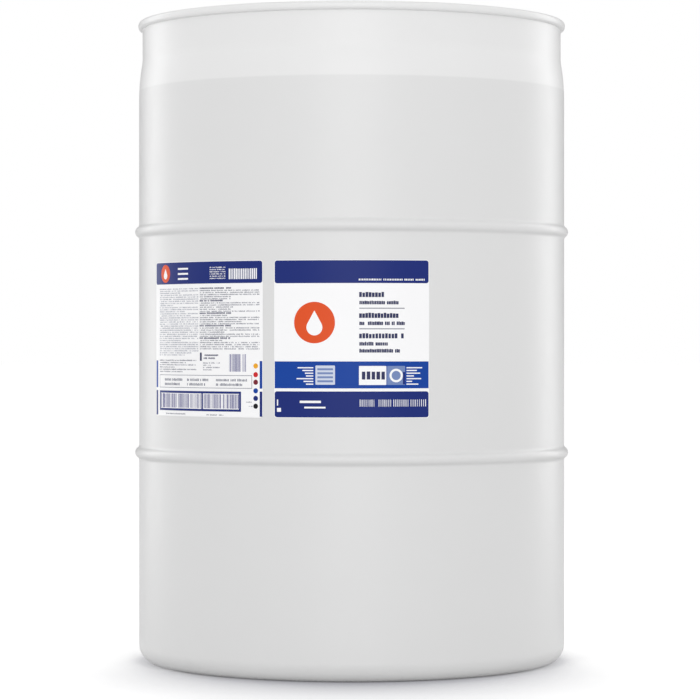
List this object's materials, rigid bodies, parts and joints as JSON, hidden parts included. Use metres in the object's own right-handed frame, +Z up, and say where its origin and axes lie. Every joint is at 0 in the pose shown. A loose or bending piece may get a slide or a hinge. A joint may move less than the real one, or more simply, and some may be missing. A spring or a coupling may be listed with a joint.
{
  "type": "bleach drum",
  "caption": "Upright closed-head plastic drum with two rolling ribs, a handling ring, two screw plugs and two wrapped labels, filled with liquid bleach.",
  "frame": {"origin": "middle of the base, on the floor the drum stands on", "axes": "+Z up along the drum's axis, -Y towards the middle of the front label, closures on the X axis with the vented plug at +X"},
  "size_m": [0.603, 0.6028, 0.888],
  "materials": {
    "drum_plastic": "satin",
    "liquid": "clear liquid",
    "front_film": "printed film",
    "side_film": "printed film",
    "plug_plastic": "satin",
    "seal_rubber": "soft white rubber",
    "vent_film": "matt",
    "cap_plastic": "satin"
  },
  "bodies": {
    "drum": {"drum_body": "drum_plastic", "bleach": "liquid", "front_label": "front_film", "side_label": "side_film"},
    "coarse_seal": {"coarse_gasket": "seal_rubber"},
    "coarse_closure": {"coarse_plug": "plug_plastic", "vent_membrane": "vent_film", "vent_cap": "cap_plastic"},
    "fine_seal": {"fine_gasket": "seal_rubber"},
    "fine_closure": {"fine_plug": "plug_plastic"}
  },
  "joints": [
    {"name": "coarse_plug_lift", "type": "slide", "parent": "drum", "child": "coarse_seal", "axis": [0, 0, 1], "range_m": [0, 0.0204]},
    {"name": "coarse_plug_turn", "type": "hinge", "parent": "coarse_seal", "child": "coarse_closure", "pos_m": [0.206, 0, 0.8695], "axis": [0, 0, 1], "range_deg": [0, 1440]},
    {"name": "fine_plug_lift", "type": "slide", "parent": "drum", "child": "fine_seal", "axis": [0, 0, 1], "range_m": [0, 0.0199]},
    {"name": "fine_plug_turn", "type": "hinge", "parent": "fine_seal", "child": "fine_closure", "pos_m": [-0.206, 0, 0.8695], "axis": [0, 0, 1], "range_deg": [0, 3240]}
  ],
  "couplings": [
    {"joint": "coarse_plug_lift", "follows": "coarse_plug_turn", "m_per_rad": 0.00080851},
    {"joint": "fine_plug_lift", "follows": "fine_plug_turn", "m_per_rad": 0.00035152}
  ]
}
